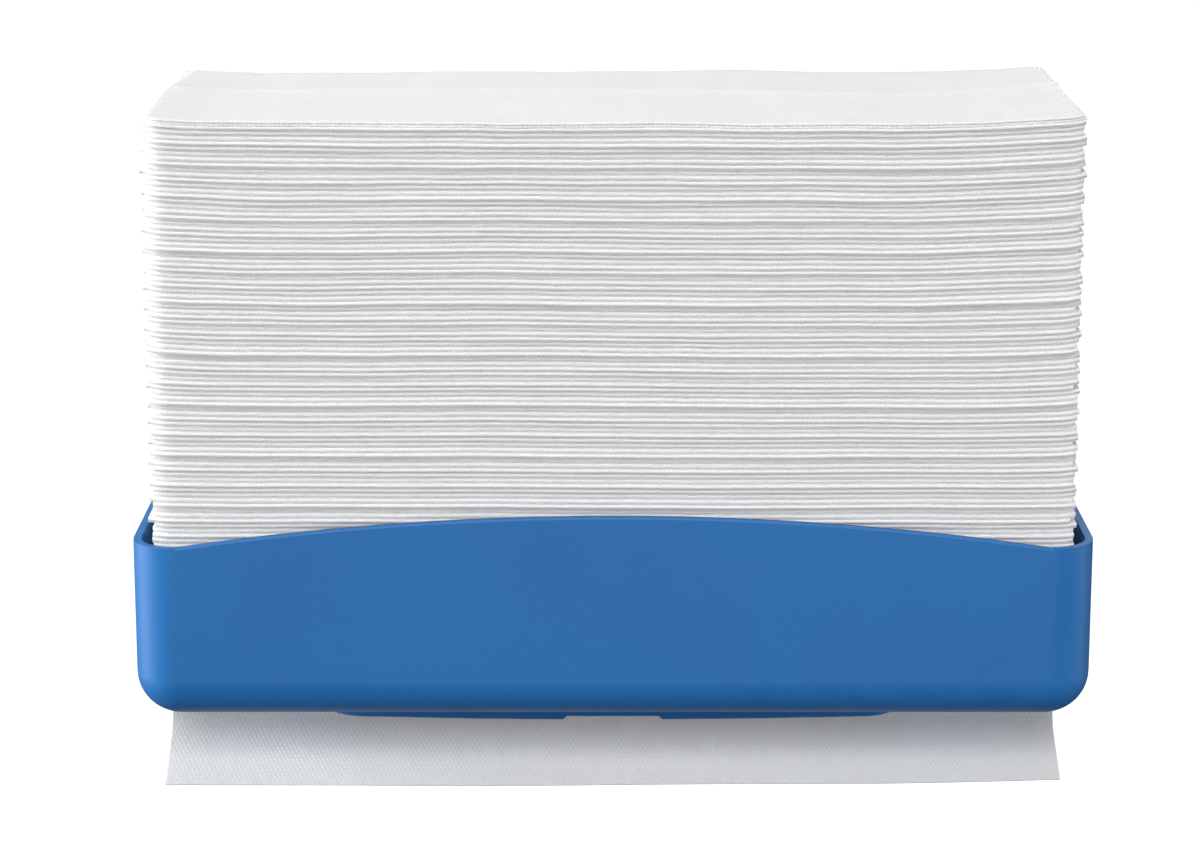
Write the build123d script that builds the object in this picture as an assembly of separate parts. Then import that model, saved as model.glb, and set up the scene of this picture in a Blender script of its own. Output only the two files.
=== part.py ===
from build123d import *
from math import sin, sqrt
import os

# Wall-mounted holder for interfolded wipes: an open moulded tray that is screwed to a wall, the
# stack of folded wipes that stands in it, and the next wipe hanging out of the slot in its floor.
# Millimetres. X runs along the wall to the viewer's right, +Y points into the wall, +Z is up.
# The origin is the centre of the four wall screws, on the back face of the tray.

# Driving dimensions of the wipes
WIPE_WIDTH = 355.0  # along X, the width of the cloth
PANEL_DEPTH = 142.0  # front to back: a 428 mm long cloth folded in three
WIPE_THICK = 2.0  # one folded wipe in the stack
GROUPS = 36  # groups of folded wipes between the lowest and the top one
WIPES_PER_GROUP = 3
SIDE_WANDER = 1.5  # how far a wipe above the tray lies off centre
FRONT_WANDER = 0.9
HELD_SHARE = 0.2  # the share of that wander which the tray's walls leave
TOP_PANEL_DEPTH = 85.0  # the front panel that lies on the top wipe
CLOTH_THICK = 0.7

# Driving dimensions of the tray
WALL = 3.0
BACK_WALL = 4.0
SIDE_GAP = 5.5  # from the stack to the tray, each side
FRONT_GAP = 5.0
BACK_GAP = 4.0
TRAY_BOTTOM = -80.0
CENTRE_HEIGHT = 82.5  # front wall at the middle of its arch
ARCH_RADIUS = 1130.0  # the front rim falls on this arc to where the round corners begin
RIM_ROUND = 0.9  # outer edge of the rim
PLAN_RADIUS = 18.0  # front corners seen from above
BOTTOM_RADIUS = 17.0  # outer roll under the front and the sides
BACK_HEIGHT = 155.0
BACK_CORNER = 26.0
CHEEK_RADIUS = 45.0  # the side walls sweep up to the back plate
RIB_HEIGHT = 10.0
RIB_THICK = 2.5
RIB_PITCH = 32.0
RIBS_EACH_SIDE = 5

# Driving dimensions of the outlet
OUTLET_Y = -105.0
SLOT_WIDTH = 12.0
SLOT_LENGTH = 358.0
COLLAR_HALF_LENGTH = 115.0
COLLAR_END_RADIUS = 16.0
COLLAR_BOW = 4.0  # the long lips bulge this much at the middle
COLLAR_DROP = 9.5  # below the tray's underside
LIP_ROUND = 1.0
NOTCH_LENGTH = 40.0
NOTCH_HEIGHT = 1.7

# Driving dimensions of the wall screws
SCREW_SPACING_X = 240.0
SCREW_SPACING_Z = 100.0
HOLE_RADIUS = 2.7
RECESS_RADIUS = 6.0
RECESS_DEPTH = 1.2
HEAD_RADIUS = 4.5
HEAD_HEIGHT = 2.6
NECK_RADIUS = 2.0
THREAD_RADIUS = 2.25
THREAD_LENGTH = 34.0
TIP_LENGTH = 5.0

# Driving dimensions of the leading wipe that hangs out
LEAF_TOP_GAP = 0.3
LEAF_BOTTOM = -120.0
LEAF_TOP_Y = -101.5
LEAF_BOTTOM_Y = -110.0  # no further to the front, so that it comes up through the slot with the stack

# Sizes worked out from them
OUTER_HALF = WIPE_WIDTH / 2 + SIDE_GAP + WALL
INNER_HALF = OUTER_HALF - WALL
STACK_BACK = -BACK_WALL - BACK_GAP
STACK_FRONT = STACK_BACK - PANEL_DEPTH
INNER_FRONT = STACK_FRONT - FRONT_GAP
OUTER_FRONT = INNER_FRONT - WALL
ARCH_TOP = TRAY_BOTTOM + CENTRE_HEIGHT
ARCH_HALF = OUTER_HALF - PLAN_RADIUS
SIDE_TOP = ARCH_TOP - (ARCH_RADIUS - sqrt(ARCH_RADIUS**2 - ARCH_HALF**2))
FLOOR_TOP = TRAY_BOTTOM + WALL
STACK_BOTTOM = FLOOR_TOP + RIB_HEIGHT
BACK_TOP = TRAY_BOTTOM + BACK_HEIGHT
COLLAR_BOTTOM = TRAY_BOTTOM - COLLAR_DROP
WIPE_COUNT = GROUPS * WIPES_PER_GROUP + 2
CORNER_Y = OUTER_FRONT + PLAN_RADIUS
FAR = 400.0


def block(x0, x1, y0, y1, z0, z1):
    """A plain block from its two corners."""
    return Pos((x0 + x1) / 2, (y0 + y1) / 2, (z0 + z1) / 2) * Box(x1 - x0, y1 - y0, z1 - z0)


def tub(half, front, back, bottom, top, corner, roll):
    """A block with round front corners in plan, rolled under at the front and the sides."""
    plan = Pos(0, (front + back) / 2) * Rectangle(2 * half, back - front)
    plan = fillet(plan.vertices().group_by(Axis.Y)[0], corner)
    body = extrude(Pos(0, 0, bottom) * plan, top - bottom)
    all_but_rear = body.faces().sort_by(Axis.Z)[0].edges().sort_by(Axis.Y)[:-1]
    return fillet(all_but_rear, roll)


def above_front_rim():
    """All that is cut away over the arched front rim and, level with the sides, over its ends."""
    lines = [
        ThreePointArc((-ARCH_HALF, SIDE_TOP), (0, ARCH_TOP), (ARCH_HALF, SIDE_TOP)),
        Line((ARCH_HALF, SIDE_TOP), (FAR, SIDE_TOP)),
        Line((FAR, SIDE_TOP), (FAR, FAR)),
        Line((FAR, FAR), (-FAR, FAR)),
        Line((-FAR, FAR), (-FAR, SIDE_TOP)),
        Line((-FAR, SIDE_TOP), (-ARCH_HALF, SIDE_TOP)),
    ]
    profile = make_face([Plane.XZ * line for line in lines])
    return extrude(Pos(0, CORNER_Y, 0) * profile, PLAN_RADIUS + 5, dir=(0, -1, 0))


def above_side_rim():
    """All that is cut away over the side rims, which sweep up to the back plate."""
    back = -BACK_WALL
    start = back - CHEEK_RADIUS
    low = SIDE_TOP
    high = low + CHEEK_RADIUS
    middle = (start + CHEEK_RADIUS * sqrt(0.5), high - CHEEK_RADIUS * sqrt(0.5))
    lines = [
        Line((CORNER_Y, low), (start, low)),
        ThreePointArc((start, low), middle, (back, high)),
        Line((back, high), (back, FAR)),
        Line((back, FAR), (CORNER_Y, FAR)),
        Line((CORNER_Y, FAR), (CORNER_Y, low)),
    ]
    profile = make_face([Plane.YZ * line for line in lines])
    return extrude(profile, FAR, both=True)


def outlet_outline(inset):
    """The outlet seen from below: two bowed long sides and two round ends."""
    end = COLLAR_END_RADIUS - inset
    straight = COLLAR_HALF_LENGTH - COLLAR_END_RADIUS
    bulge = end + COLLAR_BOW
    lines = [
        ThreePointArc((-straight, -end), (0, -bulge), (straight, -end)),
        ThreePointArc((straight, -end), (straight + end, 0), (straight, end)),
        ThreePointArc((straight, end), (0, bulge), (-straight, end)),
        ThreePointArc((-straight, end), (-straight - end, 0), (-straight, -end)),
    ]
    return Pos(0, OUTLET_Y) * make_face(lines)


def screw_places():
    """The four wall screws, as (x, z)."""
    x, z = SCREW_SPACING_X / 2, SCREW_SPACING_Z / 2
    return [(-x, -z), (x, -z), (-x, z), (x, z)]


def along_y(x, z, y0, y1, radius):
    """A cylinder from y0 to y1."""
    return Pos(x, (y0 + y1) / 2, z) * Rot(-90, 0, 0) * Cylinder(radius, y1 - y0)


def tray_shell():
    """One moulding: front, sides, ribbed floor, outlet collar and back plate."""
    outer = tub(OUTER_HALF, OUTER_FRONT, 0, TRAY_BOTTOM, BACK_TOP, PLAN_RADIUS, BOTTOM_RADIUS)
    well = tub(
        INNER_HALF, INNER_FRONT, -BACK_WALL, FLOOR_TOP, FAR, PLAN_RADIUS - WALL, BOTTOM_RADIUS - WALL
    )
    shell = outer - well - above_front_rim() - above_side_rim()
    plate_top = shell.edges().filter_by(Axis.Y).group_by(Axis.Z)[-1]
    shell = fillet(plate_top, BACK_CORNER)
    rim_arch = shell.edges().filter_by(GeomType.CIRCLE).filter_by(lambda edge: edge.radius > FAR)
    shell = fillet(rim_arch.sort_by(Axis.Y)[0], RIM_ROUND)
    for i in range(-RIBS_EACH_SIDE, RIBS_EACH_SIDE + 1):
        x = i * RIB_PITCH
        rib = block(
            x - RIB_THICK / 2, x + RIB_THICK / 2, OUTER_FRONT, -1, TRAY_BOTTOM + 1, STACK_BOTTOM
        )
        shell += rib & outer

    clear = extrude(Pos(0, 0, FLOOR_TOP) * outlet_outline(-2), RIB_HEIGHT + 1)
    slot = block(
        -SLOT_LENGTH / 2, SLOT_LENGTH / 2,
        OUTLET_Y - SLOT_WIDTH / 2, OUTLET_Y + SLOT_WIDTH / 2,
        COLLAR_BOTTOM - 1, STACK_BOTTOM + 1,
    )
    collar = extrude(Pos(0, 0, COLLAR_BOTTOM) * outlet_outline(0), FLOOR_TOP - COLLAR_BOTTOM)
    window = extrude(Pos(0, 0, COLLAR_BOTTOM - 1) * outlet_outline(WALL), RIB_HEIGHT + COLLAR_DROP + 5)
    shell = (shell - clear + collar) - window - slot

    half = NOTCH_LENGTH / 2
    lower = COLLAR_BOTTOM - 1
    upper = COLLAR_BOTTOM + NOTCH_HEIGHT
    slope = NOTCH_HEIGHT + 1
    corners = [(-half - 1, lower), (half + 1, lower), (half + 1 - slope, upper), (-half - 1 + slope, upper)]
    notch = make_face(Plane.XZ * Polyline(*corners, close=True))
    shell -= extrude(Pos(0, OUTLET_Y, 0) * notch, 60, dir=(0, -1, 0))
    lips = shell.edges().filter_by(GeomType.CIRCLE)
    lips = lips.filter_by(lambda edge: edge.bounding_box().max.Z < COLLAR_BOTTOM + 0.01)
    shell = fillet(lips, LIP_ROUND)

    for x, z in screw_places():
        shell -= along_y(x, z, -BACK_WALL - 1, 1, HOLE_RADIUS)
        shell -= along_y(x, z, -BACK_WALL - 1, -BACK_WALL + RECESS_DEPTH, RECESS_RADIUS)
    return shell


def wall_screw(x, z):
    """A pan-head screw with a cross recess; its thread stands out behind the tray."""
    seat = -BACK_WALL + RECESS_DEPTH
    head = along_y(x, z, seat - HEAD_HEIGHT, seat, HEAD_RADIUS)
    head = fillet(head.edges().group_by(Axis.Y)[0], 1.2)
    neck = along_y(x, z, seat, 0, NECK_RADIUS)
    thread = along_y(x, z, 0, THREAD_LENGTH, THREAD_RADIUS)
    tip = Pos(x, THREAD_LENGTH + TIP_LENGTH / 2, z) * Rot(-90, 0, 0) * Cone(THREAD_RADIUS, 0.4, TIP_LENGTH)
    top = seat - HEAD_HEIGHT
    cross = block(x - 2.4, x + 2.4, top, top + 1.4, z - 0.45, z + 0.45)
    cross += block(x - 0.45, x + 0.45, top, top + 1.4, z - 2.4, z + 2.4)
    return head + neck + thread + tip - cross


def folded_wipe(number):
    """One folded wipe lying in the stack: a flat slab with round folds at its front and back."""
    z = STACK_BOTTOM + (number + 0.5) * WIPE_THICK
    share = HELD_SHARE if z < SIDE_TOP + WIPE_THICK else 1
    dx = share * SIDE_WANDER * sin(2.3 * number) * sin(0.61 * number + 1)
    dy = share * FRONT_WANDER * sin(1.9 * number + 0.5)
    profile = Plane.YZ * SlotOverall(PANEL_DEPTH, WIPE_THICK)
    slab = extrude(profile, WIPE_WIDTH / 2, both=True)
    return Pos(dx, (STACK_FRONT + STACK_BACK) / 2 + dy, z) * slab


def top_wipe():
    """The uppermost wipe: its folded layers, and the front panel that lies on them."""
    base_thick = WIPE_THICK - CLOTH_THICK
    bottom = STACK_BOTTOM + (WIPE_COUNT - 1) * WIPE_THICK
    base = Pos(0, (STACK_FRONT + STACK_BACK) / 2, bottom + base_thick / 2) * extrude(
        Plane.YZ * SlotOverall(PANEL_DEPTH, base_thick), WIPE_WIDTH / 2, both=True
    )
    y0 = STACK_FRONT + CLOTH_THICK / 2
    panel = block(
        -WIPE_WIDTH / 2, WIPE_WIDTH / 2, y0, y0 + TOP_PANEL_DEPTH,
        bottom + base_thick, bottom + WIPE_THICK,
    )
    return base + panel


def lead_wipe_leaf():
    """The end of the lowest wipe: it hangs through the slot and leans a little to the front."""
    top = STACK_BOTTOM - LEAF_TOP_GAP
    middle_y = LEAF_TOP_Y - 2.6
    middle_z = (top + LEAF_BOTTOM) / 2
    half = CLOTH_THICK / 2
    front = ThreePointArc(
        (LEAF_TOP_Y - half, top), (middle_y - half, middle_z), (LEAF_BOTTOM_Y - half, LEAF_BOTTOM)
    )
    rear = ThreePointArc(
        (LEAF_TOP_Y + half, top), (middle_y + half, middle_z), (LEAF_BOTTOM_Y + half, LEAF_BOTTOM)
    )
    lines = [front, rear, Line(front @ 0, rear @ 0), Line(front @ 1, rear @ 1)]
    profile = make_face([Plane.YZ * line for line in lines])
    return extrude(profile, WIPE_WIDTH / 2, both=True)


def build():
    """Every node by name, each with its solids."""
    nodes = {
        "tray_shell": [tray_shell()],
        "wall_screws": [wall_screw(x, z) for x, z in screw_places()],
        "lead_wipe_leaf": [lead_wipe_leaf()],
        "lead_wipe_fold": [folded_wipe(0)],
    }
    for group in range(GROUPS):
        first = 1 + group * WIPES_PER_GROUP
        numbers = range(first, first + WIPES_PER_GROUP)
        nodes[f"wipes_group_{group + 1:02d}"] = [folded_wipe(n) for n in numbers]
    nodes["top_wipe"] = [top_wipe()]
    return nodes


os.makedirs("parts", exist_ok=True)
for name, solids in build().items():
    single = [solid for part in solids for solid in part.solids()]
    shape = single[0] if len(single) == 1 else Compound(children=single)
    export_step(shape, f"parts/{name}.step")
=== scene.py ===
"""Wall-mounted holder for interfolded wipes, dressed: moulded tray, folded cloths and wall screws."""
from math import cos, exp, pi, radians, sin

import bmesh
import bpy
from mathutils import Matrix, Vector


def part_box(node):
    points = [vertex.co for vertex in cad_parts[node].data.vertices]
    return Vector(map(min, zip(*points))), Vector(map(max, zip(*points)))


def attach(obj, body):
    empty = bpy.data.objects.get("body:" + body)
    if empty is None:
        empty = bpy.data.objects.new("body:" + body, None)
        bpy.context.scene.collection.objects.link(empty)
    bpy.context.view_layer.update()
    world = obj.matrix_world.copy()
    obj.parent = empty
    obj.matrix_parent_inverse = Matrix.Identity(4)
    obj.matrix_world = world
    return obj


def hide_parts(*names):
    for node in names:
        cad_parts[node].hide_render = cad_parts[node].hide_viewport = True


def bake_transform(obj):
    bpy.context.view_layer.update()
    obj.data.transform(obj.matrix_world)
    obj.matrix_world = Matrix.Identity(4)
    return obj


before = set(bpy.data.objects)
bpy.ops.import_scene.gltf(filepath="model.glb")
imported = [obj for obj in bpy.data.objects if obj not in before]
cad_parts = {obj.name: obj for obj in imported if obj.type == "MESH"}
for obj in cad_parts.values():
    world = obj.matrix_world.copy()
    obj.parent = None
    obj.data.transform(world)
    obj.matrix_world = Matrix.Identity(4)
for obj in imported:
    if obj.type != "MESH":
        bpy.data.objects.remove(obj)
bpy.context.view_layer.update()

bl_info = {
    "name": "Wall-mounted wipes holder",
    "version": (1, 0, 0),
    "blender": (4, 5, 0),
    "location": "3D View > Sidebar > Wipes Holder",
    "description": "Dresses the wipes holder: moulded tray, folded cloths, wall screws and a plain studio",
    "category": "Object",
}

MM = 0.001
MATH = "ShaderNodeMath"

# The stack: its lowest wipe gives the size of every folded one.
FOLD_LOW, FOLD_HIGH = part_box("lead_wipe_fold")
STACK_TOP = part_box("top_wipe")[1].z
PITCH = FOLD_HIGH.z - FOLD_LOW.z  # height of one folded wipe
DEPTH = FOLD_HIGH.y - FOLD_LOW.y
WIDTH = FOLD_HIGH.x - FOLD_LOW.x
GROUPS = sorted(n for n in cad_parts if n.startswith("wipes_group_"))
PER_GROUP = 3  # wipes in a group
SIDE_RIM = -10 * MM  # height of the tray's side rims, below which its walls hold the wipes
TOP_PANEL = 85 * MM  # front to back, the panel that lies on the top wipe
PLAIN_SIDE = 10.0  # metres that the UV map of a cloth's smooth side is moved along


class TraySettings(bpy.types.PropertyGroup):
    """The moulded tray."""

    colour: bpy.props.StringProperty(
        name="Colour", description="Colour of the plastic, as sRGB hex", default="256CAF"
    )
    roughness: bpy.props.FloatProperty(
        name="Roughness", description="Roughness of the satin surface", default=0.46, min=0, max=1
    )
    grain: bpy.props.FloatProperty(
        name="Grain", description="Width of one grain of the mould's texture", default=0.0007, unit="LENGTH"
    )


class ClothSettings(bpy.types.PropertyGroup):
    """The folded wipes."""

    colour: bpy.props.StringProperty(
        name="Colour", description="Colour of the cloth, as sRGB hex", default="FDFDFD"
    )
    length: bpy.props.FloatProperty(
        name="Length", description="Length of one wipe before it is folded", default=0.428, unit="LENGTH"
    )
    thickness: bpy.props.FloatProperty(
        name="Thickness", description="Thickness of one layer of cloth", default=0.0006, unit="LENGTH"
    )
    side_wander: bpy.props.FloatProperty(
        name="Side wander", description="How far a wipe lies off centre", default=0.0015, unit="LENGTH"
    )
    front_wander: bpy.props.FloatProperty(
        name="Front wander", description="How far a fold stands out or back", default=0.0009, unit="LENGTH"
    )
    held: bpy.props.FloatProperty(
        name="Held share", description="Share of the wander that the tray's walls leave",
        default=0.2, subtype="FACTOR",
    )
    wave: bpy.props.FloatProperty(
        name="Wave", description="Height of the long waves of the layers", default=0.0028, unit="LENGTH"
    )
    end_rise: bpy.props.FloatProperty(
        name="End rise", description="How far the layers rise to their ends, at the top",
        default=0.0026, unit="LENGTH",
    )
    corner: bpy.props.FloatProperty(
        name="Soft corner", description="How far the folds draw back at their ends", default=0.0045, unit="LENGTH"
    )
    seed: bpy.props.IntProperty(name="Seed", description="Seed of the stack's unevenness", default=7)


class ScrewSettings(bpy.types.PropertyGroup):
    """The wall screws."""

    colour: bpy.props.StringProperty(
        name="Colour", description="Colour of the zinc plate, as sRGB hex", default="C9CBCC"
    )
    pitch: bpy.props.FloatProperty(
        name="Pitch", description="Rise of the thread in one turn", default=0.002, unit="LENGTH"
    )
    depth: bpy.props.FloatProperty(name="Depth", description="Depth of the thread", default=0.00065, unit="LENGTH")


class StudioSettings(bpy.types.PropertyGroup):
    """Floor, camera and lights."""

    floor: bpy.props.FloatProperty(
        name="Floor", description="Height of the floor under the screws' centre", default=-1.3, unit="LENGTH"
    )
    camera: bpy.props.FloatVectorProperty(
        name="Camera", description="Place of the camera",
        default=(-0.0051, -1.451, 0.345), subtype="TRANSLATION",
    )
    pitch: bpy.props.FloatProperty(
        name="Pitch", description="Angle that the camera looks down", default=radians(13.33), subtype="ANGLE"
    )
    lens: bpy.props.FloatProperty(name="Lens", description="Focal length in millimetres", default=105.0)


def linear(code):
    """An sRGB hex colour as linear RGBA."""
    parts = [int(code[i : i + 2], 16) / 255 for i in (0, 2, 4)]
    return (*[c / 12.92 if c <= 0.04045 else ((c + 0.055) / 1.055) ** 2.4 for c in parts], 1.0)


def add_node(tree, kind, inputs=(), **settings):
    """Adds a node with its settings. inputs maps a socket to a value or to the output that feeds it, or lists
    them in the order of the node's sockets."""
    made = tree.nodes.new(kind)
    for key, value in settings.items():
        setattr(made, key, value)
    for key, value in inputs.items() if isinstance(inputs, dict) else enumerate(inputs):
        if isinstance(value, bpy.types.NodeSocket):
            tree.links.new(value, made.inputs[key])
        else:
            made.inputs[key].default_value = value
    return made


def new_material(name):
    """An empty material with its tree and its shader."""
    made = bpy.data.materials.new(name)
    made.use_nodes = True
    tree = made.node_tree
    tree.nodes.clear()
    shader = add_node(tree, "ShaderNodeBsdfPrincipled")
    add_node(tree, "ShaderNodeOutputMaterial", {"Surface": shader.outputs[0]})
    return made, tree, shader


def moulded_abs(settings):
    """ABS, injection moulded in a spark-eroded mould: satin, with a fine even grain that softens its gloss."""
    made, tree, shader = new_material("moulded_abs_satin_blue")
    place = add_node(tree, "ShaderNodeTexCoord").outputs["Object"]
    # The real grain is about 0.2 mm wide, too fine to show, so it is drawn 0.7 mm wide.
    grain = add_node(
        tree, "ShaderNodeTexNoise", {"Vector": place, "Scale": 1 / settings.grain, "Detail": 3.0, "Roughness": 0.6}
    ).outputs[0]
    # Slow unevenness of the gloss, about 60 mm wide, as mould release and handling leave it.
    cloudy = add_node(tree, "ShaderNodeTexNoise", {"Vector": place, "Scale": 16.0, "Detail": 4.0}).outputs[0]
    tint = add_node(tree, "ShaderNodeMapRange", [cloudy, 0.3, 0.7, 0.965, 1.035]).outputs[0]
    speck = add_node(tree, "ShaderNodeMapRange", [grain, 0.3, 0.7, 0.95, 1.05]).outputs[0]
    shade = add_node(tree, MATH, [tint, speck], operation="MULTIPLY").outputs[0]
    colour = add_node(
        tree, "ShaderNodeVectorMath", {0: linear(settings.colour)[:3], "Scale": shade}, operation="SCALE"
    ).outputs[0]
    tree.links.new(colour, shader.inputs["Base Color"])
    smoothest, roughest = settings.roughness - 0.03, settings.roughness + 0.05
    rough = add_node(tree, "ShaderNodeMapRange", [cloudy, 0.3, 0.7, smoothest, roughest]).outputs[0]
    tree.links.new(rough, shader.inputs["Roughness"])
    bump = add_node(tree, "ShaderNodeBump", {"Height": grain, "Strength": 0.35, "Distance": 0.00008})
    tree.links.new(bump.outputs[0], shader.inputs["Normal"])
    shader.inputs["IOR"].default_value = 1.5
    shader.inputs["Specular IOR Level"].default_value = 0.3
    return made


def nonwoven_cloth(settings):
    """Nonwoven of wood pulp and polyester, embossed on one side: matt, near white, with loose fibre."""
    made, tree, shader = new_material("embossed_nonwoven_white")
    place = add_node(tree, "ShaderNodeUVMap", uv_map="cloth").outputs[0]
    along = add_node(tree, "ShaderNodeSeparateXYZ", [place]).outputs[1]
    plain = add_node(tree, MATH, [along, PLAIN_SIDE / 2], operation="GREATER_THAN").outputs[0]
    # The embossing is a diamond of crossed lines 1.6 mm apart, turned 66 degrees to the folds.
    lines = []
    for turn in (66, -66):
        turned = add_node(tree, "ShaderNodeMapping", {"Vector": place, "Rotation": (0, 0, radians(turn))}).outputs[0]
        lines.append(
            add_node(
                tree, "ShaderNodeTexWave",
                {
                    "Vector": turned, "Scale": 2 * pi / 20 / 0.0016, "Distortion": 0.5, "Detail": 1.0,
                    "Detail Scale": 2.0,
                },
                wave_type="BANDS", bands_direction="Y",
            ).outputs[1]
        )
    crossed = add_node(tree, MATH, lines, operation="MULTIPLY").outputs[0]
    # Only a fifth of it shows on the smooth side.
    lost = add_node(tree, MATH, [plain, 0.8], operation="MULTIPLY").outputs[0]
    shown = add_node(tree, MATH, [1.0, lost], operation="SUBTRACT").outputs[0]
    diamond = add_node(tree, MATH, [shown, crossed], operation="MULTIPLY").outputs[0]
    # Fibre clumps about 1.2 mm wide, and single fibres drawn 0.35 mm wide so that they show.
    clump = add_node(tree, "ShaderNodeTexNoise", {"Vector": place, "Scale": 800.0, "Detail": 3.0}).outputs[0]
    stretched = add_node(tree, "ShaderNodeMapping", {"Vector": place, "Scale": (1.0, 2.5, 1.0)}).outputs[0]
    fibre = add_node(
        tree, "ShaderNodeTexNoise", {"Vector": stretched, "Scale": 1200.0, "Detail": 4.0, "Roughness": 0.7}
    ).outputs[0]
    relief = [
        add_node(tree, MATH, [part, share], operation="MULTIPLY").outputs[0]
        for part, share in ((diamond, 0.6), (clump, 0.45), (fibre, 0.45))
    ]
    fibres = add_node(tree, MATH, relief[1:], operation="ADD").outputs[0]
    height = add_node(tree, MATH, [relief[0], fibres], operation="ADD").outputs[0]
    # Pressed hollows are a little darker than raised cloth. The smooth side is drawn 7 % darker than the embossed
    # one: painted shade, which darkens the top wipe's flap where it lies lower behind the panel.
    tone = add_node(tree, "ShaderNodeMapRange", [height, 0.3, 1.0, 0.9, 1.05]).outputs[0]
    painted_shade = add_node(tree, MATH, [plain, 0.07], operation="MULTIPLY").outputs[0]
    after_painted_shade = add_node(tree, MATH, [1.0, painted_shade], operation="SUBTRACT").outputs[0]
    shade = add_node(tree, MATH, [tone, after_painted_shade], operation="MULTIPLY").outputs[0]
    colour = add_node(
        tree, "ShaderNodeVectorMath", {0: linear(settings.colour)[:3], "Scale": shade}, operation="SCALE"
    ).outputs[0]
    tree.links.new(colour, shader.inputs["Base Color"])
    bump = add_node(tree, "ShaderNodeBump", {"Height": height, "Strength": 0.8, "Distance": 0.0003})
    tree.links.new(bump.outputs[0], shader.inputs["Normal"])
    rough = add_node(tree, "ShaderNodeMapRange", [fibre, 0.3, 0.7, 0.86, 0.98]).outputs[0]
    tree.links.new(rough, shader.inputs["Roughness"])
    shader.inputs["IOR"].default_value = 1.45
    shader.inputs["Specular IOR Level"].default_value = 0.25
    shader.inputs["Subsurface Weight"].default_value = 0.9
    shader.inputs["Subsurface Scale"].default_value = 0.0015
    shader.inputs["Subsurface Radius"].default_value = (1.0, 1.0, 1.0)
    shader.inputs["Sheen Weight"].default_value = 0.15
    shader.inputs["Sheen Roughness"].default_value = 0.6
    return made


def zinc_plated_steel(settings):
    """Steel wire, cold headed and zinc plated: bright, with faint drawing lines and a slight haze."""
    made, tree, shader = new_material("zinc_plated_steel")
    place = add_node(tree, "ShaderNodeTexCoord").outputs["Object"]
    haze = add_node(tree, "ShaderNodeTexNoise", {"Vector": place, "Scale": 900.0, "Detail": 4.0}).outputs[0]
    drawn = add_node(
        tree, "ShaderNodeTexNoise",
        {
            "Vector": add_node(tree, "ShaderNodeMapping", {"Vector": place, "Scale": (1, 0.05, 1)}).outputs[0],
            "Scale": 4000.0, "Detail": 2.0,
        },
    ).outputs[0]
    tone = add_node(tree, "ShaderNodeMapRange", [haze, 0.3, 0.7, 0.9, 1.05]).outputs[0]
    colour = add_node(
        tree, "ShaderNodeVectorMath", {0: linear(settings.colour)[:3], "Scale": tone}, operation="SCALE"
    ).outputs[0]
    tree.links.new(colour, shader.inputs["Base Color"])
    rough = add_node(tree, "ShaderNodeMapRange", [haze, 0.3, 0.7, 0.24, 0.42]).outputs[0]
    tree.links.new(rough, shader.inputs["Roughness"])
    bump = add_node(tree, "ShaderNodeBump", {"Height": drawn, "Strength": 0.3, "Distance": 0.00003})
    tree.links.new(bump.outputs[0], shader.inputs["Normal"])
    shader.inputs["Metallic"].default_value = 1.0
    return made


def matt_floor():
    """Painted board, white and matt: plain, with a barely uneven roller finish."""
    made, tree, shader = new_material("painted_board_white")
    place = add_node(tree, "ShaderNodeTexCoord").outputs["Object"]
    roller = add_node(tree, "ShaderNodeTexNoise", {"Vector": place, "Scale": 40.0, "Detail": 2.0}).outputs[0]
    rough = add_node(tree, "ShaderNodeMapRange", {0: roller, 3: 0.85, 4: 0.95}).outputs[0]
    tree.links.new(rough, shader.inputs["Roughness"])
    shader.inputs["Base Color"].default_value = linear("FFFFFF")
    shader.inputs["Specular IOR Level"].default_value = 0.0
    shader.inputs["Emission Color"].default_value = linear("FFFFFF")
    shader.inputs["Emission Strength"].default_value = 1.0
    return made


def show(name, mesh):
    """Links a mesh to the scene as an object at the origin."""
    made = bpy.data.objects.new(name, mesh)
    bpy.context.scene.collection.objects.link(made)
    return made


def smooth(mesh, sharp):
    """Shades a mesh smooth, but for edges that turn more than sharp degrees."""
    mesh.shade_smooth()
    mesh.set_sharp_from_angle(angle=radians(sharp))


def walk(start, steps):
    """Points in (y, z) from start, which is (y, z, heading). Each step is (length, turn in degrees, points)."""
    points, heading = [Vector(start[:2])], start[2]
    for length, turn, count in steps:
        for _ in range(count):
            heading += radians(turn) / count / 2
            points.append(points[-1] + Vector((cos(heading), sin(heading))) * length / count)
            heading += radians(turn) / count / 2
    return points


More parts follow.
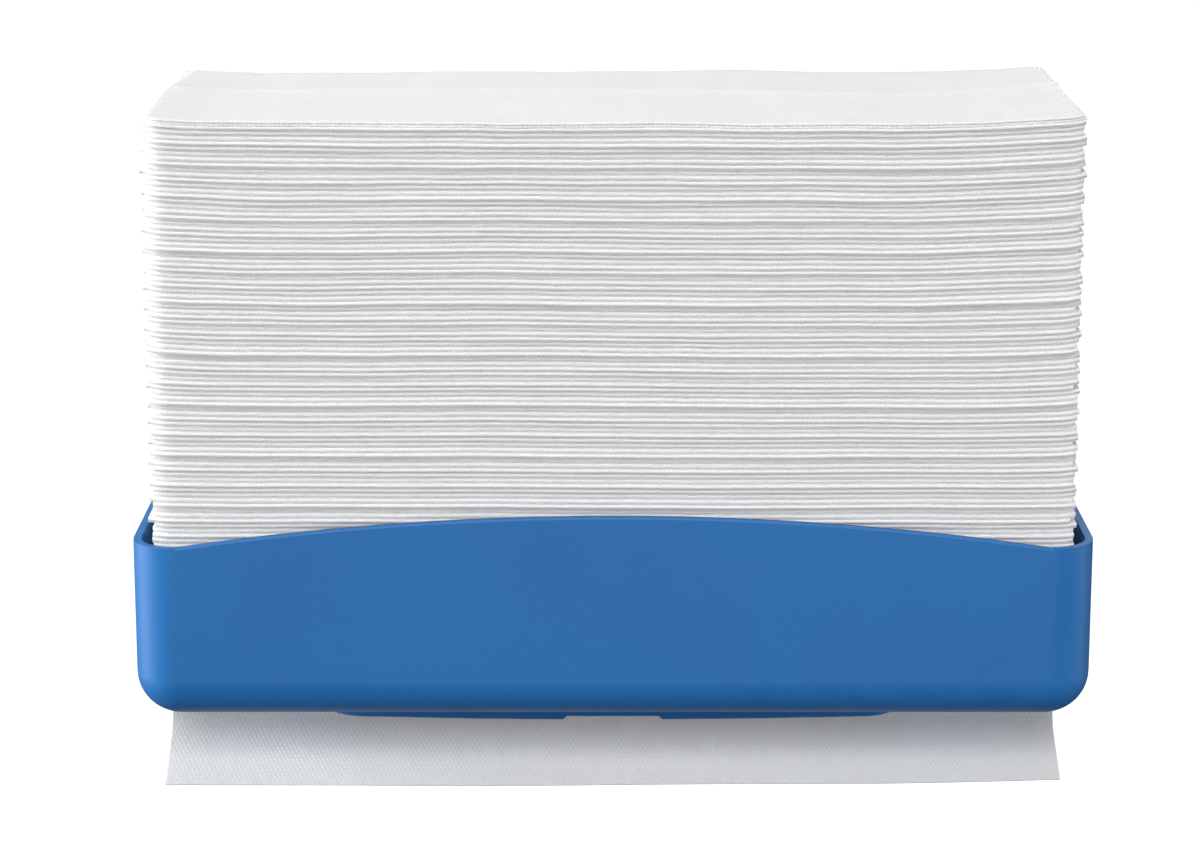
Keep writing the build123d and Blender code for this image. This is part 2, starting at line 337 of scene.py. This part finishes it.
def cloth_slab(name, line, columns, thickness, embossed, bend=None):
    """A cloth of the given thickness that follows line, a list of (y, z), at every x of columns.

    embossed is 1 where the side to the left of the line's course is the embossed one, or -1. The UV map holds
    metres across and along the cloth, and the smooth side's are PLAIN_SIDE further along.
    bend(x, s, y, z) gives the place of a point whose distance along the cloth is s."""
    count = len(line)
    runs = [0.0]
    for a, b in zip(line, line[1:]):
        runs.append(runs[-1] + (b - a).length)
    normals = []
    for i in range(count):
        along = (line[min(i + 1, count - 1)] - line[max(i - 1, 0)]).normalized()
        normals.append(Vector((-along.y, along.x)))
    rim = []
    for side, course in ((1, slice(None)), (-1, slice(None, None, -1))):
        for p, n, s in list(zip(line, normals, runs))[course]:
            rim.append((p + side * n * thickness / 2, s, s + (0 if side == embossed else PLAIN_SIDE)))
    around = len(rim)
    mesh = bpy.data.meshes.new(name)
    vertices, faces = [], []
    for x in columns:
        for p, s, _ in rim:
            vertices.append(bend(x, s, p.x, p.y) if bend else (x, p.x, p.y))
    for column in range(len(columns) - 1):
        first, second = column * around, (column + 1) * around
        for i in range(around):
            j = (i + 1) % around
            faces.append((first + i, first + j, second + j, second + i))
    for first, flip in ((0, True), ((len(columns) - 1) * around, False)):
        for i in range(count - 1):
            face = (first + i, first + i + 1, first + around - 2 - i, first + around - 1 - i)
            faces.append(face[::-1] if flip else face)
    mesh.from_pydata(vertices, [], faces)
    uv = mesh.uv_layers.new(name="cloth")
    for loop in mesh.loops:
        column, i = divmod(loop.vertex_index, around)
        uv.data[loop.index].uv = (columns[column], rim[i][2])
    shell = bmesh.new()
    shell.from_mesh(mesh)
    bmesh.ops.recalc_face_normals(shell, faces=shell.faces)
    shell.to_mesh(mesh)
    shell.free()
    smooth(mesh, 50)
    return mesh


def cloth_columns(width, middle, ends, reach):
    """Places along the cloth's width, closer together towards its two ends."""
    half = width / 2
    inner = [-half + reach + (width - 2 * reach) * i / middle for i in range(middle + 1)]
    outer = [reach * (i / ends) ** 1.5 for i in range(ends)]
    return [-half + d for d in outer] + inner + [half - d for d in reversed(outer)]


def folded_line(cloth):
    """The Z of one folded wipe in (y, z), from its front fold at y = 0 and its underside at z = 0."""
    air = 0.05 * MM  # to the wipes above and below
    gap = (PITCH - 3 * cloth - 2 * air) / 2
    step = cloth + gap
    high = PITCH - air - cloth / 2
    # A fold is two quarter turns with a flat between them.
    bend, flat = pi * step / 8, step / 2
    panel = DEPTH - step - cloth
    steps = [(panel - 0.4 * MM, 0, 5)]
    for turn, length, count in ((90, panel, 4), (-90, panel - 0.35 * MM, 5)):
        steps += [(bend, turn, 2), (flat, 0, 1), (bend, turn, 2), (length, 0, count)]
    return walk((DEPTH - 0.8 * MM, high, pi), steps)


def new_tree(name, source, sizes, result):
    """A Geometry Nodes tree with its named inputs, and the outputs of its input node."""
    tree = bpy.data.node_groups.new(name, "GeometryNodeTree")
    tree.interface.new_socket(source, in_out="INPUT", socket_type="NodeSocketGeometry")
    for size, value in sizes.items():
        tree.interface.new_socket(size, in_out="INPUT", socket_type="NodeSocketFloat").default_value = value
    tree.interface.new_socket(result, in_out="OUTPUT", socket_type="NodeSocketGeometry")
    return tree, add_node(tree, "NodeGroupInput").outputs


def stack_tree(material, settings):
    """Repeats one folded wipe upwards, each with its own small offset, and lets the layers wave together."""
    sizes = {
        "First": 1.0, "Count": float(PER_GROUP), "Bottom": FOLD_LOW.z, "Top": STACK_TOP, "Pitch": PITCH,
        "Front": FOLD_LOW.y, "Depth": DEPTH, "Half width": WIDTH / 2, "Rim": SIDE_RIM + PITCH,
        "Side wander": settings.side_wander, "Front wander": settings.front_wander, "Held share": settings.held,
        "Wave": settings.wave, "End rise": settings.end_rise, "Corner": settings.corner, "Seed": settings.seed,
    }
    tree, given = new_tree("Folded wipes", "Wipe", sizes, "Wipes")
    index = add_node(tree, "GeometryNodeInputIndex").outputs[0]
    number = add_node(tree, MATH, [index, given["First"]], operation="ADD").outputs[0]
    height = add_node(tree, MATH, [number, given["Pitch"], given["Bottom"]], operation="MULTIPLY_ADD").outputs[0]
    held = add_node(
        tree, "FunctionNodeCompare", [height, given["Rim"]], data_type="FLOAT", operation="LESS_THAN"
    ).outputs[0]
    share = add_node(tree, "GeometryNodeSwitch", [held, 1.0, given["Held share"]], input_type="FLOAT").outputs[0]

    # Each wipe's own offset comes from sines of its number. The last one is 1 and -1 by turns.
    sines = []
    for step, start in ((2.3, 0.0), (0.61, 1.0), (1.9, 0.5), (3.14159, 1.5708)):
        angle = add_node(tree, MATH, [number, step, start], operation="MULTIPLY_ADD").outputs[0]
        sines.append(add_node(tree, MATH, [angle], operation="SINE").outputs[0])
    fast, slow, to_front, every_second = sines
    side_room = add_node(tree, MATH, [share, given["Side wander"]], operation="MULTIPLY").outputs[0]
    side_share = add_node(tree, MATH, [fast, slow], operation="MULTIPLY").outputs[0]
    side = add_node(tree, MATH, [side_room, side_share], operation="MULTIPLY").outputs[0]
    front_room = add_node(tree, MATH, [share, given["Front wander"]], operation="MULTIPLY").outputs[0]
    wander = add_node(tree, MATH, [front_room, to_front], operation="MULTIPLY").outputs[0]
    # Every second wipe is folded the other way round and stands out a little.
    out = add_node(tree, MATH, [every_second, 0.22 * MM, wander], operation="MULTIPLY_ADD").outputs[0]
    front = add_node(tree, MATH, [out, given["Front"]], operation="ADD").outputs[0]
    place = add_node(tree, "ShaderNodeCombineXYZ", [side, front, height]).outputs[0]
    points = add_node(tree, "GeometryNodePoints", {"Count": given["Count"], "Position": place}).outputs[0]
    numbered = add_node(
        tree, "GeometryNodeStoreNamedAttribute", {0: points, "Name": "wipe", "Value": number},
        data_type="FLOAT", domain="POINT",
    ).outputs[0]
    stacked = add_node(
        tree, "GeometryNodeInstanceOnPoints", {"Points": numbered, "Instance": given["Wipe"]}
    ).outputs[0]
    real = add_node(tree, "GeometryNodeRealizeInstances", [stacked]).outputs[0]

    which = add_node(tree, "GeometryNodeInputNamedAttribute", {"Name": "wipe"}, data_type="FLOAT").outputs[0]
    position = add_node(tree, "GeometryNodeInputPosition").outputs[0]
    x, y, z = add_node(tree, "ShaderNodeSeparateXYZ", [position]).outputs
    # How loose the layers are: nothing at the tray's ribs, all of it at the top.
    loose = add_node(
        tree, "ShaderNodeMapRange", [z, given["Bottom"], given["Top"], 0.0, 1.0],
        interpolation_type="SMOOTHSTEP",
    ).outputs[0]
    free = add_node(tree, MATH, [loose, 0.7, 0.3], operation="MULTIPLY_ADD").outputs[0]
    # Nearness to the front, where the folds are seen: all at the front fold, nothing from mid depth on.
    half_depth = add_node(tree, MATH, [given["Depth"], 0.5], operation="MULTIPLY").outputs[0]
    middle = add_node(tree, MATH, [given["Front"], half_depth], operation="ADD").outputs[0]
    near = add_node(
        tree, "ShaderNodeMapRange", [y, given["Front"], middle, 1.0, 0.0],
        interpolation_type="SMOOTHSTEP",
    ).outputs[0]
    # Nearness to the wipe's ends: as a share of the way from the middle, and over the last 8 mm.
    off_middle = add_node(tree, MATH, [x], operation="ABSOLUTE").outputs[0]
    from_middle = add_node(tree, MATH, [off_middle, given["Half width"]], operation="DIVIDE").outputs[0]
    to_end = add_node(tree, MATH, [given["Half width"], off_middle], operation="SUBTRACT").outputs[0]
    last = add_node(tree, "ShaderNodeMapRange", [to_end, 0.0, 8 * MM, 1.0, 0.0]).outputs[0]

    of_wipe = add_node(tree, "ShaderNodeCombineXYZ", [x, which]).outputs[0]
    noises = []
    for source, scale, detail in (
        (position, (7.0, 3.0, 9.0), 1.0),  # long waves that the layers share
        (position, (30.0, 12.0, 60.0), 1.0),  # short ones, some 30 mm long
        (of_wipe, (160.0, 7.31, 1.0), 2.0),  # each fold's own edge, in and out every 5 to 10 mm
        (of_wipe, (14.0, 0.9, 1.0), 1.0),  # its slow wander over some 70 mm
    ):
        scaled = add_node(tree, "ShaderNodeVectorMath", [source, scale], operation="MULTIPLY").outputs[0]
        noise = add_node(
            tree, "ShaderNodeTexNoise", {"Vector": scaled, "W": given["Seed"], "Scale": 1.0, "Detail": detail},
            noise_dimensions="4D",
        ).outputs[0]
        noises.append(add_node(tree, MATH, [noise, 0.5], operation="SUBTRACT").outputs[0])
    long_wave, short_wave, edge, slow_edge = noises

    # Up: the layers wave together and rise towards their ends.
    to_ends = add_node(tree, MATH, [from_middle, 5.0], operation="POWER").outputs[0]
    loose_rise = add_node(tree, MATH, [given["End rise"], loose], operation="MULTIPLY").outputs[0]
    rise = add_node(tree, MATH, [loose_rise, to_ends], operation="MULTIPLY").outputs[0]
    doubled = add_node(tree, MATH, [2.0, long_wave], operation="MULTIPLY").outputs[0]
    long_part = add_node(tree, MATH, [given["Wave"], doubled], operation="MULTIPLY").outputs[0]
    short_part = add_node(tree, MATH, [1.2 * MM, short_wave], operation="MULTIPLY").outputs[0]
    waves = add_node(tree, MATH, [long_part, short_part], operation="ADD").outputs[0]
    free_waves = add_node(tree, MATH, [free, waves], operation="MULTIPLY").outputs[0]
    up = add_node(tree, MATH, [rise, free_waves], operation="ADD").outputs[0]

    # Back: the folds draw back at their ends, and their edges are uneven.
    squared = add_node(tree, MATH, [last, last], operation="MULTIPLY").outputs[0]
    corner = add_node(tree, MATH, [given["Corner"], squared], operation="MULTIPLY").outputs[0]
    fine = add_node(tree, MATH, [0.7 * MM, edge], operation="MULTIPLY").outputs[0]
    coarse = add_node(tree, MATH, [2.4 * MM, slow_edge], operation="MULTIPLY").outputs[0]
    uneven = add_node(tree, MATH, [fine, coarse], operation="ADD").outputs[0]
    drawn = add_node(tree, MATH, [corner, uneven], operation="ADD").outputs[0]
    free_front = add_node(tree, MATH, [near, free], operation="MULTIPLY").outputs[0]
    back = add_node(tree, MATH, [free_front, drawn], operation="MULTIPLY").outputs[0]

    # Sideways: each end's cut edge is in and out a little from wipe to wipe.
    cut_room = add_node(tree, MATH, [2.2 * MM, free], operation="MULTIPLY").outputs[0]
    at_ends = add_node(tree, MATH, [from_middle, 3.0], operation="POWER").outputs[0]
    cut = add_node(tree, MATH, [slow_edge, at_ends], operation="MULTIPLY").outputs[0]
    ragged = add_node(tree, MATH, [cut_room, cut], operation="MULTIPLY").outputs[0]

    offset = add_node(tree, "ShaderNodeCombineXYZ", [ragged, back, up]).outputs[0]
    moved = add_node(tree, "GeometryNodeSetPosition", {0: real, "Offset": offset}).outputs[0]
    dressed = add_node(tree, "GeometryNodeSetMaterial", {0: moved, "Material": material}).outputs[0]
    add_node(tree, "NodeGroupOutput", [dressed])
    return tree


def by_nodes(name, source, tree, **values):
    """The plain mesh that a node tree makes of a source object, with the named inputs set."""
    modifier = source.modifiers.new("shape", "NODES")
    modifier.node_group = tree
    for item in tree.interface.items_tree:
        if item.item_type == "SOCKET" and item.in_out == "INPUT" and item.name in values:
            modifier[item.identifier] = values[item.name]
    source.update_tag()
    made = bpy.data.meshes.new_from_object(source.evaluated_get(bpy.context.evaluated_depsgraph_get()))
    source.modifiers.remove(modifier)
    made.name = name
    return made


class HOLDER_OT_tray(bpy.types.Operator):
    """Gives the moulded tray its smooth surface and its satin plastic"""

    bl_idname = "holder.tray"
    bl_label = "Tray"

    def execute(self, context):
        settings = context.scene.holder_tray
        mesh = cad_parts["tray_shell"].data.copy()
        mesh.name = "tray"
        shell = bmesh.new()
        shell.from_mesh(mesh)
        bmesh.ops.remove_doubles(shell, verts=shell.verts, dist=2e-6)
        shell.to_mesh(mesh)
        shell.free()
        if not mesh.vertices:
            raise RuntimeError("the tray's mesh is empty")
        mesh.materials.clear()
        mesh.materials.append(moulded_abs(settings))
        smooth(mesh, 32)
        tray = show("tray", mesh)
        even = tray.modifiers.new("even", "WEIGHTED_NORMAL")
        even.keep_sharp = True
        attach(tray, "tray")
        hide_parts("tray_shell")
        return {"FINISHED"}


def thread_tree(material, settings):
    """Winds a thread round the core of each wall screw, and on to its point."""
    sizes = {
        "Core": 1.62 * MM, "Depth": settings.depth, "Length": 33.5 * MM, "Point": 4.5 * MM,
        "Pitch": settings.pitch, "Start": 0.6 * MM,
    }
    tree, given = new_tree("Screw threads", "Places", sizes, "Threads")
    turns, point_turns = [
        add_node(tree, MATH, [given[part], given["Pitch"]], operation="DIVIDE").outputs[0]
        for part in ("Length", "Point")
    ]
    tip = add_node(tree, MATH, [given["Core"], 0.15], operation="MULTIPLY").outputs[0]
    main, point = [
        add_node(
            tree, "GeometryNodeCurveSpiral",
            {
                "Resolution": 26, "Rotations": rotations, "Start Radius": given["Core"], "End Radius": radius,
                "Height": given[part],
            },
        ).outputs[0]
        for part, rotations, radius in (("Length", turns, given["Core"]), ("Point", point_turns, tip))
    ]
    # The point's thread goes on where the other one ends.
    height = add_node(tree, "ShaderNodeCombineXYZ", {2: given["Length"]}).outputs[0]
    angle = add_node(tree, MATH, [turns, 2 * pi], operation="MULTIPLY").outputs[0]
    rotation = add_node(tree, "ShaderNodeCombineXYZ", {2: angle}).outputs[0]
    lifted = add_node(
        tree, "GeometryNodeTransform", {0: point, "Translation": height, "Rotation": rotation}
    ).outputs[0]
    ridge = add_node(
        tree, "GeometryNodeCurvePrimitiveCircle", {"Resolution": 4, "Radius": given["Depth"]}
    ).outputs[0]
    joined = add_node(tree, "GeometryNodeJoinGeometry").inputs[0]
    for curve in (main, lifted):
        wound = add_node(
            tree, "GeometryNodeCurveToMesh", {"Curve": curve, "Profile Curve": ridge, "Fill Caps": True}
        ).outputs[0]
        tree.links.new(wound, joined)
    start = add_node(tree, "ShaderNodeCombineXYZ", {1: given["Start"]}).outputs[0]
    into_wall = add_node(
        tree, "GeometryNodeTransform",
        {0: joined.node.outputs[0], "Rotation": (-pi / 2, 0, 0), "Translation": start},
    ).outputs[0]
    placed = add_node(
        tree, "GeometryNodeInstanceOnPoints", {"Points": given["Places"], "Instance": into_wall}
    ).outputs[0]
    real = add_node(tree, "GeometryNodeRealizeInstances", [placed]).outputs[0]
    dressed = add_node(tree, "GeometryNodeSetMaterial", {0: real, "Material": material}).outputs[0]
    add_node(tree, "NodeGroupOutput", [dressed])
    return tree


class HOLDER_OT_screws(bpy.types.Operator):
    """Makes the four wall screws: pan head with a cross recess, slim core and wound thread"""

    bl_idname = "holder.screws"
    bl_label = "Wall screws"

    def execute(self, context):
        settings = context.scene.holder_screws
        metal = zinc_plated_steel(settings)
        low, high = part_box("wall_screws")
        head = 4.5 * MM  # radius
        places = [
            (x, 0, z) for x in (low.x + head, high.x - head) for z in (low.z + head, high.z - head)
        ]
        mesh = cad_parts["wall_screws"].data.copy()
        shell = bmesh.new()
        shell.from_mesh(mesh)
        bmesh.ops.remove_doubles(shell, verts=shell.verts, dist=2e-6)
        # The CAD's shank has the thread's outer size; the core between its turns is slimmer.
        slimmer = 0.75
        for vertex in shell.verts:
            if vertex.co.y > 0.1 * MM:
                x, _, z = min(places, key=lambda p: (vertex.co.x - p[0]) ** 2 + (vertex.co.z - p[2]) ** 2)
                vertex.co.x = x + (vertex.co.x - x) * slimmer
                vertex.co.z = z + (vertex.co.z - z) * slimmer
        shell.to_mesh(mesh)
        shell.free()
        points = bpy.data.meshes.new("places")
        points.from_pydata(places, [], [])
        source = show("places", points)
        threads = by_nodes("threads", source, thread_tree(metal, settings))
        bpy.data.objects.remove(source)
        if not threads.polygons:
            raise RuntimeError("the screws have no thread")
        both = bmesh.new()
        both.from_mesh(mesh)
        both.from_mesh(threads)
        bmesh.ops.recalc_face_normals(both, faces=both.faces)
        both.to_mesh(mesh)
        both.free()
        mesh.name = "wall_screws_threaded"
        mesh.materials.clear()
        mesh.materials.append(metal)
        for polygon in mesh.polygons:
            polygon.material_index = 0
        smooth(mesh, 35)
        screws = show("wall_screws_threaded", mesh)
        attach(screws, "tray")
        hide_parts("wall_screws")
        return {"FINISHED"}


class HOLDER_OT_folded_wipes(bpy.types.Operator):
    """Makes the folded wipes of the stack, group by group"""

    bl_idname = "holder.folded_wipes"
    bl_label = "Folded wipes"

    def execute(self, context):
        settings = context.scene.holder_cloth
        material = nonwoven_cloth(settings)
        cloth = settings.thickness
        columns = cloth_columns(WIDTH, 58, 7, 12 * MM)
        wipe = show("one_wipe", cloth_slab("one_wipe", folded_line(cloth), columns, cloth, -1))
        tree = stack_tree(material, settings)
        for group, node in enumerate(GROUPS):
            name = node.replace("wipes_group", "folded_wipes")
            mesh = by_nodes(name, wipe, tree, First=1.0 + group * PER_GROUP, Count=float(PER_GROUP))
            if len(mesh.vertices) < PER_GROUP * len(wipe.data.vertices):
                raise RuntimeError(f"{name} has too few points")
            piece = show(name, mesh)
            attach(piece, "refill")
            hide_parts(node)
        bpy.data.objects.remove(wipe)
        return {"FINISHED"}


class HOLDER_OT_top_wipe(bpy.types.Operator):
    """Makes the uppermost wipe, whose front panel lies on its folded layers"""

    bl_idname = "holder.top_wipe"
    bl_label = "Top wipe"

    def execute(self, context):
        settings = context.scene.holder_cloth
        cloth = settings.thickness * 0.7  # it lies flatter than the folded ones
        step = 0.5 * MM  # from one layer's middle to the next
        turn = pi * step / 2
        tail = settings.length - 2 * DEPTH - TOP_PANEL
        panel = DEPTH - step - cloth
        # From below: the short tail, two whole panels, and the front panel on top.
        line = walk(
            (tail, cloth / 2 + 0.03 * MM, pi),
            [
                (tail - 0.5 * MM, 0, 5), (turn, -180, 6), (panel, 0, 6), (turn, 180, 6), (panel, 0, 24),
                (turn, -180, 6), (TOP_PANEL - 0.5 * MM, 0, 20),
            ],
        )
        flap_start = tail + panel + turn
        top_start = flap_start + turn + panel

        def lie(x, s, y, z):
            """The panel's free edge is uneven and lifts a little; the flap behind narrows and waves."""
            left, right = max(-x, 0) / (WIDTH / 2), max(x, 0) / (WIDTH / 2)
            if s > top_start:
                share = y / TOP_PANEL
                # The free edge comes forward most at a dip 104 mm to the right, and it lifts over its last 40 %.
                dip = exp(-(((x - 0.104) / 0.05) ** 2))
                y *= 1 - share * (0.13 * dip - 0.06 * right**8 + 0.012 * sin(47 * x) * sin(90 * x + 1))
                z += (0.8 + 0.4 * right) * MM * max(0, share - 0.6) ** 2 / 0.16
                x += left**3 * (0.8 + 1.8 * share) * MM - right**3 * (2.0 - 1.2 * share) * MM
            elif s > flap_start:
                # The flap only rises, because the layers below it are full.
                share = max(0, y - TOP_PANEL) / (DEPTH - TOP_PANEL)
                z += share**2 * (0.65 + 0.4 * sin(19 * x + 0.8) + 0.25 * sin(43 * x)) * MM
                x += left**3 * (4.5 * share - 1.0 * (y / TOP_PANEL if share == 0 else 1)) * MM
                x -= right**3 * (1.0 + 2.4 * share) * MM
            return x, y, z

        columns = cloth_columns(WIDTH, 70, 7, 12 * MM)
        source = show("top_source", cloth_slab("top_source", line, columns, cloth, 1, lie))
        tree = bpy.data.node_groups["Folded wipes"]
        number = 1 + PER_GROUP * len(GROUPS)
        mesh = by_nodes("top_wipe_cloth", source, tree, First=float(number), Count=1.0)
        bpy.data.objects.remove(source)
        if not mesh.vertices:
            raise RuntimeError("the top wipe's mesh is empty")
        wipe = show("top_wipe_cloth", mesh)
        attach(wipe, "refill")
        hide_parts("top_wipe")
        return {"FINISHED"}


class HOLDER_OT_leading_wipe(bpy.types.Operator):
    """Makes the lowest wipe, whose end hangs out through the slot"""

    bl_idname = "holder.leading_wipe"
    bl_label = "Leading wipe"

    def execute(self, context):
        settings = context.scene.holder_cloth
        cloth = settings.thickness * 0.75  # the stack's weight presses it
        step = 0.65 * MM  # from one layer's middle to the next
        under = FOLD_LOW.z + cloth / 2 + 0.05 * MM
        turn = pi * step / 2
        slot_y = -102.4 * MM  # where the cloth comes down through the slot
        bend_z = -88 * MM  # below this it swings to the front
        swing = 16 * MM  # radius of that swing
        straight = 25 * MM  # from the swing to the cut edge
        slope = 30  # degrees between that part and the level
        lean = radians(slope)
        start_y = slot_y - straight * cos(lean) - swing * (1 - sin(lean))
        start_z = bend_z - straight * sin(lean) - swing * cos(lean)
        swung = swing * (pi / 2 - lean)
        corner = 0.8 * MM  # radius of the turn under the stack
        hang = under - corner - bend_z
        back = FOLD_HIGH.y - step / 2 - cloth / 2 - slot_y - corner
        panel = DEPTH - step - cloth
        used = straight + swung + hang + corner * pi / 2 + back + 2 * turn + panel
        # From the cut edge: up through the slot, back under the stack, and folded there.
        line = walk(
            (start_y, start_z, lean),
            [
                (straight, 0, 6), (swung, 90 - slope, 14), (hang, 0, 30), (corner * pi / 2, -90, 5),
                (back, 0, 6), (turn, 180, 6), (panel, 0, 5), (turn, -180, 6), (settings.length - used, 0, 5),
            ],
        )
        loose = straight + swung

        def hang_free(x, s, y, z):
            """Out of the slot the cloth waves a little, and its lower edge rises to the right."""
            left, right = max(0, -x / (WIDTH / 2)), max(0, x / (WIDTH / 2))
            share = max(0, 1 - s / loose) ** 1.5
            y += share * (0.9 * sin(17 * x + 1) + 0.5 * sin(41 * x)) * MM
            z += share * (2.6 * right**2 + 0.8 * left**3) * MM
            return x, y, z

        columns = cloth_columns(WIDTH, 70, 6, 10 * MM)
        mesh = cloth_slab("leading_wipe_cloth", line, columns, cloth, 1, hang_free)
        mesh.materials.append(bpy.data.materials["embossed_nonwoven_white"])
        wipe = show("leading_wipe_cloth", mesh)
        # The cloth unfolds between the stack's underside and its bend below the slot.
        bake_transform(wipe)
        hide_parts("lead_wipe_fold", "lead_wipe_leaf")
        return {"FINISHED"}


class HOLDER_OT_stage(bpy.types.Operator):
    """Makes the floor, the soft lights and the camera"""

    bl_idname = "holder.stage"
    bl_label = "Stage"

    def execute(self, context):
        settings = context.scene.holder_studio
        scene = context.scene
        reach, segments = 14.0, 64
        # A disc whose rim curves up far away, so that no horizon shows. Each ring is (share of reach, rise).
        rings = [(0.5, 0), (0.8, 0), (0.93, 0.35), (1, 1.6), (1, 9)]
        vertices, faces = [(0, 0, settings.floor)], []
        for share, rise in rings:
            for i in range(segments):
                turn = 2 * pi * i / segments
                radius = reach * share
                vertices.append((radius * cos(turn), radius * sin(turn), settings.floor + rise))
        for i in range(segments):
            j = (i + 1) % segments
            faces.append((0, 1 + i, 1 + j))
            for ring in range(len(rings) - 1):
                a, b = 1 + ring * segments, 1 + (ring + 1) * segments
                faces.append((a + i, b + i, b + j, a + j))
        mesh = bpy.data.meshes.new("floor")
        mesh.from_pydata(vertices, [], faces)
        mesh.materials.append(matt_floor())
        mesh.shade_smooth()
        floor = show("floor", mesh)
        # It glows so that it shows white, and lights nothing: the holder's light comes from the lamps.
        floor.visible_diffuse = floor.visible_glossy = floor.visible_shadow = False

        lights = (
            # name, place, aims at, width, height, power; all are white
            ("front", (-0.3, -2.7, 1.65), (0, -0.15, 0.0), 2.4, 1.3, 69.0),
            ("low front", (0.0, -3.4, 0.0), (0, -0.15, 0.0), 2.6, 1.0, 22.0),
            ("top", (-0.1, -0.2, 2.2), (0, -0.08, 0.1), 2.0, 1.4, 18.0),
            ("left", (-1.8, 0.0, 0.15), (-0.1, -0.1, 0.0), 0.9, 1.2, 42.0),
            ("right", (1.9, -0.1, 0.15), (0.1, -0.1, 0.0), 0.8, 1.2, 12.0),
            ("rear", (0.4, 2.2, 1.4), (0, 0, 0.0), 2.0, 1.4, 15.0),
        )
        for name, place, aim, width, height, power in lights:
            data = bpy.data.lights.new(name, "AREA")
            data.shape, data.size, data.size_y, data.energy = "RECTANGLE", width, height, power
            lamp = bpy.data.objects.new(name, data)
            lamp.location = place
            lamp.rotation_euler = (Vector(place) - Vector(aim)).to_track_quat("Z", "Y").to_euler()
            scene.collection.objects.link(lamp)

        world = bpy.data.worlds.new("studio")
        scene.world = world
        world.use_nodes = True
        world.node_tree.nodes.clear()
        sky = add_node(world.node_tree, "ShaderNodeBackground", {0: linear("FFFFFF"), 1: 0.11})
        add_node(world.node_tree, "ShaderNodeOutputWorld", {0: sky.outputs[0]})

        data = bpy.data.cameras.new("camera")
        data.lens, data.sensor_width, data.clip_start, data.clip_end = settings.lens, 36.0, 0.05, 60.0
        camera = bpy.data.objects.new("camera", data)
        camera.location = settings.camera
        camera.rotation_euler = (pi / 2 - settings.pitch, 0, 0)
        scene.collection.objects.link(camera)
        scene.camera = camera
        scene.view_settings.view_transform = "Standard"
        scene.view_settings.look = "None"
        return {"FINISHED"}


class HOLDER_PT_panel(bpy.types.Panel):
    """Lists the holder's pieces and sizes"""

    bl_label = "Wipes Holder"
    bl_idname = "HOLDER_PT_panel"
    bl_space_type = "VIEW_3D"
    bl_region_type = "UI"
    bl_category = "Wipes Holder"

    def draw(self, context):
        layout = self.layout
        for operator in OPERATORS:
            layout.operator(operator.bl_idname)
        for name, group in SETTINGS.items():
            box = layout.box()
            for item in group.__annotations__:
                box.prop(getattr(context.scene, name), item)


SETTINGS = {
    "holder_tray": TraySettings,
    "holder_cloth": ClothSettings,
    "holder_screws": ScrewSettings,
    "holder_studio": StudioSettings,
}
OPERATORS = (
    HOLDER_OT_stage,
    HOLDER_OT_tray,
    HOLDER_OT_screws,
    HOLDER_OT_folded_wipes,
    HOLDER_OT_top_wipe,
    HOLDER_OT_leading_wipe,
)


def register():
    for item in (*SETTINGS.values(), *OPERATORS, HOLDER_PT_panel):
        bpy.utils.register_class(item)
    for name, group in SETTINGS.items():
        setattr(bpy.types.Scene, name, bpy.props.PointerProperty(type=group))


def unregister():
    for name in SETTINGS:
        delattr(bpy.types.Scene, name)
    for item in (HOLDER_PT_panel, *reversed(OPERATORS), *reversed(list(SETTINGS.values()))):
        bpy.utils.unregister_class(item)


def main():
    register()
    for operator in OPERATORS:
        getattr(bpy.ops.holder, operator.bl_idname.split(".")[1])()
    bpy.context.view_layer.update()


if __name__ == "__main__":
    main()
